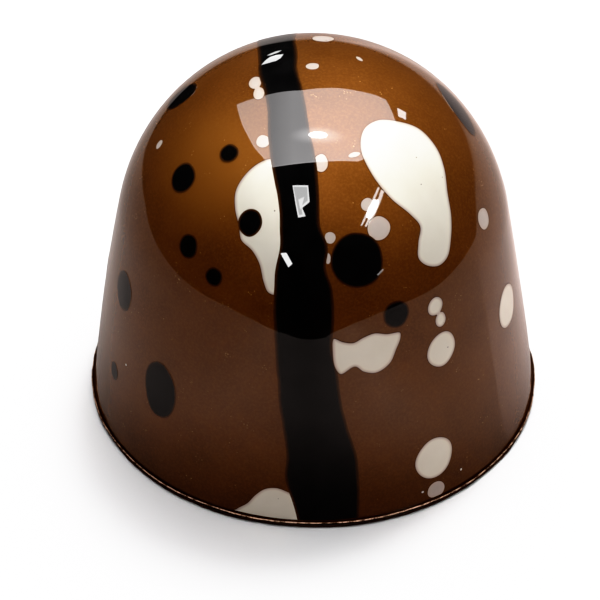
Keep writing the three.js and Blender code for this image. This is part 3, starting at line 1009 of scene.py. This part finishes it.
def white_material(name, shades):
    """Ivory film with a fine dark outline, a pinkish thin rim and a few pinholes."""
    material, tree, shader = new_material(name, WHITE_FINISH)
    place = texture_place(tree)
    ivory = clouded(tree, place, IVORY_SCALE, 3.0, *shades)
    holes = cell_distance(tree, place, PINHOLE_SCALE)
    holes = grey_ramp(tree, holes, [(0.030, 1), (0.065, 0)])
    pitted = mixed(tree, holes, ivory, PINHOLE)
    edge_colours = [(0.0, IVORY_OUTLINE), (0.10, IVORY_EDGE), (0.22, IVORY_RIM), (1.0, shades[0])]
    edge = ramp(tree, mark_value(tree, "rim"), edge_colours)
    cover = grey_ramp(tree, mark_value(tree, "rim"), [(0.4, 0), (1.0, 1)])
    tree.links.new(mixed(tree, cover, edge, pitted), shader.inputs["Base Color"])
    return material


def layer_material():
    """Duller, slightly rough dark chocolate."""
    material, tree, shader = new_material("dark_closing_chocolate", LAYER_FINISH)
    place = texture_place(tree)
    colour = clouded(tree, place, LAYER_SCALE, 4.0, LAYER_DEEP, LAYER_LIGHT)
    tree.links.new(colour, shader.inputs["Base Color"])
    grit = noise(tree, place, LAYER_BUMP_SCALE, 3.0)
    bump = add_node(tree, "Bump", Strength=BUMP_STRENGTH, Distance=BUMP_HEIGHT * MM, Height=grit)
    tree.links.new(bump.outputs["Normal"], shader.inputs["Normal"])
    return material


# Pieces

def place_piece(piece, slot, *nodes):
    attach(piece, "root")
    if nodes:
        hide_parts(*nodes)


def make_white(name, loops, turn, height, lift, material):
    piece = film(name + "_film", loops, turn, height, lift, WHITE_RIM, material)
    place_piece(piece, "ivory_film", name)


def make_splash(row, lift, material):
    name, outline, turn, height, size, lean = row
    make_white(name, [splash_loop(outline, size, lean)], turn, height, lift, material)


def make_dark_drop(row, material):
    name, turn, height, *shape = row
    loop = drop_loop(*shape, DROP_UNEVENNESS)
    piece = film(name + "_film", [loop], turn, height, DARK_LIFT, DARK_RIM, material)
    place_piece(piece, "dark_film", name)


def make_white_drop(row, material):
    name, turn, height, *shape = row
    make_white(name, [drop_loop(*shape, DROP_UNEVENNESS)], turn, height, WHITE_LIFT, material)


def make_twins(row, material):
    """Two drops that ran together, laid out round the first one's place."""
    name, one, other = row
    first = drop_loop(*one[2:], TWIN_UNEVENNESS)
    second = drop_loop(*other[2:], TWIN_UNEVENNESS)
    place, right, up, _ = surface_frame(one[0], one[1])
    offset = surface_frame(other[0], other[1])[0] - place
    second = second + np.array([offset @ right, offset @ up])
    make_white(name, [first, second], one[0], one[1], WHITE_LIFT, material)


def make_specks(thin, full):
    """Small spatter, thin in colour but for the tiniest specks."""
    for index, (turn, height, half_width, half_length) in enumerate(WHITE_SPECKS):
        loop = drop_loop(half_width, half_length, 0, SPECK_UNEVENNESS)
        name = f"white_speck_{index + 1}"
        rim = min(WHITE_RIM, half_width * SPECK_RIM_SHARE)
        material = full if half_width < TINY_SPECK else thin
        piece = film(name, [loop], turn, height, WHITE_LIFT, rim, material)
        place_piece(piece, "ivory_film")


# Surroundings

def direction(azimuth, elevation):
    """Unit vector: azimuth 0 is +Y, 90 is +X; elevation is above the floor."""
    a = math.radians(azimuth)
    e = math.radians(elevation)
    return np.array([math.sin(a) * math.cos(e), math.cos(a) * math.cos(e), math.sin(e)])


def oval(half_width, half_depth, sides):
    turns = full_turn(sides)
    return [np.array([half_width * math.cos(t), half_depth * math.sin(t), 0]) for t in turns]


def emissive(name, colour, strength):
    material = bpy.data.materials.new(name)
    material.use_nodes = True
    tree = material.node_tree
    tree.nodes.clear()
    emission = add_node(tree, "Emission", Color=(*colour, 1), Strength=strength)
    add_node(tree, "OutputMaterial", Surface=emission.outputs[0])
    return material


def matte(name, colour):
    material, _, shader = new_material(name, MATTE_FINISH)
    shader.inputs["Base Color"].default_value = (*colour, 1)
    return material


def set_stage(piece, camera=False, diffuse=False, glossy=False, shadow=False):
    """Make a piece part of the surroundings, seen only by the named kinds of ray."""
    piece.visible_camera = camera
    piece.visible_diffuse = diffuse
    piece.visible_glossy = glossy
    piece.visible_transmission = False
    piece.visible_shadow = shadow


def panel(name, corners, material, **seen_by):
    piece = make_piece(name, corners, [tuple(range(len(corners)))], material=material)
    set_stage(piece, **seen_by)


def mirrored_panel(name, corners, material):
    """A panel that only the gloss sees."""
    panel(name, corners, material, glossy=True)


def sheet_glow(name, tint, glows):
    """What the gloss sees of the sheet: dim at the praline's shaded front and far away."""
    material = emissive(name, tint, 1.0)
    tree = material.node_tree
    place = texture_place(tree)
    near = far_from(tree, place, SHADE_CENTRE, SHADE_RADII, SHADE_DEPTH, 1.0)
    far = far_from(tree, place, (0, 0, 0), SHEET_FADE, 1.0, 0.0)
    split = add_node(tree, "SeparateXYZ", Vector=place)
    across = stretched(tree, split.outputs["X"], SHEET_SPAN, 0.0, 1.0)
    span = SHEET_SPAN[1] - SHEET_SPAN[0]
    stops = [((x - SHEET_SPAN[0]) / span, glow) for x, glow in glows]
    side = grey_ramp(tree, across, stops)
    glow = arithmetic(tree, "MULTIPLY", arithmetic(tree, "MULTIPLY", near, far), side)
    tree.links.new(glow, tree.nodes["Emission"].inputs["Strength"])
    return material


def card(name, strength, share, corners):
    distance = CARD_DISTANCE * share
    points = [CROWN + direction(a, e) * distance for a, e in corners]
    mirrored_panel(name, points, emissive(name + "_light", (1, 1, 1), strength))


def make_floors():
    """Pale floor for the camera, and a warmer one that sends light back up."""
    signs = ((-1, -1), (1, -1), (1, 1), (-1, 1))
    corners = [(x * FLOOR_HALF, y * FLOOR_HALF, FLOOR_LEVEL) for x, y in signs]
    panel("floor", corners, matte("white_floor", FLOOR_COLOUR), camera=True)
    corners = [(x, y, BOUNCE_LEVEL) for x, y, _ in corners]
    bounce = matte("warm_bounce", BOUNCE_COLOUR)
    panel("floor_bounce", corners, bounce, diffuse=True, shadow=True)


def make_sheet(name, edge, level, tint, glows):
    """What the gloss mirrors of a part of the sheet under the praline."""
    corners = [(x, y, level) for x, y in edge]
    mirrored_panel(name + "_reflection", corners, sheet_glow(name + "_glow", tint, glows))


def make_surroundings():
    make_floors()
    make_sheet("sheet", SHEET_EDGE, SHEET_LEVEL, SHEET_TINT, SHEET_GLOW)
    back = (SHEET_BACK_EDGE, SHEET_BACK_LEVEL, SHEET_BACK_TINT, SHEET_BACK_GLOW)
    make_sheet("sheet_back", *back)
    make_softbox()
    for row in CARDS:
        card(*row)
    for row in TOP_LIGHTS:
        top_light(*row)


def make_softbox():
    """Bright panel with a slightly brighter rim, and the lamp's ellipse in front of it."""
    outer = [np.array([x, y, 1.0]) * SOFTBOX_HEIGHT for x, y in SOFTBOX_CORNERS]
    mirrored_panel("softbox_rim", outer, softbox_glow("softbox_rim_glow", SOFTBOX_RIM))
    centre = np.mean(outer, axis=0)
    gap = np.array([0, 0, SOFTBOX_GAP])
    inner = []
    for corner in outer:
        reach = np.linalg.norm(corner - centre)
        share = 1 - SOFTBOX_RIM_WIDTH / reach
        inner.append(centre + (corner - centre) * share - gap)
    mirrored_panel("softbox", inner, softbox_glow("softbox_glow", 1.0))
    place = np.array([*LAMP_PLACE, 1.0]) * SOFTBOX_HEIGHT - 2 * gap
    lamp = [place + point for point in oval(*LAMP_HALF_WIDTHS, LAMP_SIDES)]
    mirrored_panel("lamp_in_softbox", lamp, emissive("lamp_light", (1, 1, 1), LAMP_RADIANCE))


def softbox_glow(name, share):
    """Brighter towards the front edge and round the lamp, dimmer at the left."""
    material = emissive(name, SOFTBOX_TINT, 1.0)
    tree = material.node_tree
    place = texture_place(tree)
    split = add_node(tree, "SeparateXYZ", Vector=place)
    front, back = (value * share for value in SOFTBOX_RADIANCE)
    along = stretched(tree, split.outputs["Y"], SOFTBOX_SPAN, front, back)
    left = stretched(tree, split.outputs["X"], SOFTBOX_LEFT, SOFTBOX_LEFT_SHARE, 1.0)
    scale = [1 / (width * MM) for width in LAMP_HALF_WIDTHS]
    shift = [-part * SOFTBOX_HEIGHT * MM * by for part, by in zip(LAMP_PLACE, scale)]
    # Place in half widths of the lamp, where the halo is round
    squeezed = add_node(tree, "Mapping", Vector=place, Location=(*shift, 0), Scale=(*scale, 0))
    reach = [value / MM for value in HALO_REACH]
    halo = far_from(tree, squeezed.outputs["Vector"], (0, 0, 0), reach, HALO_RADIANCE, 0.0)
    glow = arithmetic(tree, "ADD", arithmetic(tree, "MULTIPLY", along, left), halo)
    tree.links.new(glow, tree.nodes["Emission"].inputs["Strength"])
    return material


def top_light(name, azimuth, elevation, distance, size, power):
    """Light that shapes the form and the shadow, and isn't mirrored in the gloss."""
    data = bpy.data.lights.new(name, "AREA")
    data.energy = power
    data.size = size
    data.color = TOP_LIGHT_TINT
    light = bpy.data.objects.new(name, data)
    way = Vector(direction(azimuth, elevation))
    light.location = way * distance * MM
    light.rotation_euler = way.to_track_quat("Z", "Y").to_euler()
    light.visible_glossy = False
    light.visible_camera = False
    bpy.context.scene.collection.objects.link(light)


def make_room():
    """Far white wall for the camera, and a dim room for everything else."""
    ring = oval(WALL_RADIUS, WALL_RADIUS, WALL_SIDES)
    points = [point + np.array([0, 0, height]) for height in WALL_HEIGHTS for point in ring]
    sides = WALL_SIDES
    faces = [(i, (i + 1) % sides, (i + 1) % sides + sides, i + sides) for i in range(sides)]
    faces.append(tuple(range(sides, 2 * sides)))
    glow = emissive("wall_light", (1, 1, 1), WALL_STRENGTH)
    set_stage(make_piece("white_wall", points, faces, material=glow), camera=True)
    world = bpy.data.worlds.new("dim_room")
    world.use_nodes = True
    background = world.node_tree.nodes["Background"]
    background.inputs["Color"].default_value = (1, 1, 1, 1)
    background.inputs["Strength"].default_value = WORLD_STRENGTH
    bpy.context.scene.world = world


def make_camera():
    data = bpy.data.cameras.new("camera")
    data.lens = CAMERA_LENS
    data.sensor_width = CAMERA_SENSOR
    data.clip_start, data.clip_end = CAMERA_CLIP
    camera = bpy.data.objects.new("camera", data)
    bpy.context.scene.collection.objects.link(camera)
    away = Vector((0, -math.cos(CAMERA_ELEVATION), math.sin(CAMERA_ELEVATION)))
    place = (CAMERA_TARGET + away * CAMERA_DISTANCE) * MM
    turn = Matrix.Rotation(math.pi / 2 - CAMERA_ELEVATION, 4, "X")
    camera.matrix_world = Matrix.Translation(place) @ turn @ Matrix.Rotation(CAMERA_ROLL, 4, "Z")
    bpy.context.scene.camera = camera


def set_view():
    """Plain colours with a gentle toe, as a contrasty product picture has."""
    settings = bpy.context.scene.view_settings
    settings.view_transform = "Standard"
    settings.look = "None"
    settings.use_curve_mapping = True
    mapping = settings.curve_mapping
    mapping.white_level = (TONE_WHITE, TONE_WHITE, TONE_WHITE)
    curve = mapping.curves[3]
    for light in TONE_TOE_LIGHTS:
        shown = light * light * (1 + TONE_TOE) / (light + TONE_TOE)
        curve.points.new(light / TONE_WHITE, shown)
    for light, shown in TONE_SHOULDER:
        curve.points.new(light / TONE_WHITE, shown)
    mapping.update()


def build():
    make_camera()
    set_view()
    make_room()
    make_surroundings()
    dark = dark_material()
    white = white_material("ivory_cocoa_butter", IVORY)
    thin = white_material("thin_ivory_cocoa_butter", THIN_IVORY)
    place_piece(make_shell(shell_material()), "milk_shell", "shell")
    place_piece(make_layer(layer_material()), "closing_layer", "closing_layer")
    place_piece(make_stripe(dark), "dark_film", "dark_stripe")
    for row in SPLASHES:
        make_splash(row, WHITE_LIFT, white)
    make_splash(TOP_SPLASH, TOP_LIFT, white)
    for row in DARK_DROPS:
        make_dark_drop(row, dark)
    for row in WHITE_DROPS:
        make_white_drop(row, thin if row[0] in THIN_SPOTS else white)
    for row in WHITE_TWINS:
        make_twins(row, thin if row[0] in THIN_SPOTS else white)
    make_specks(thin, white)


build()
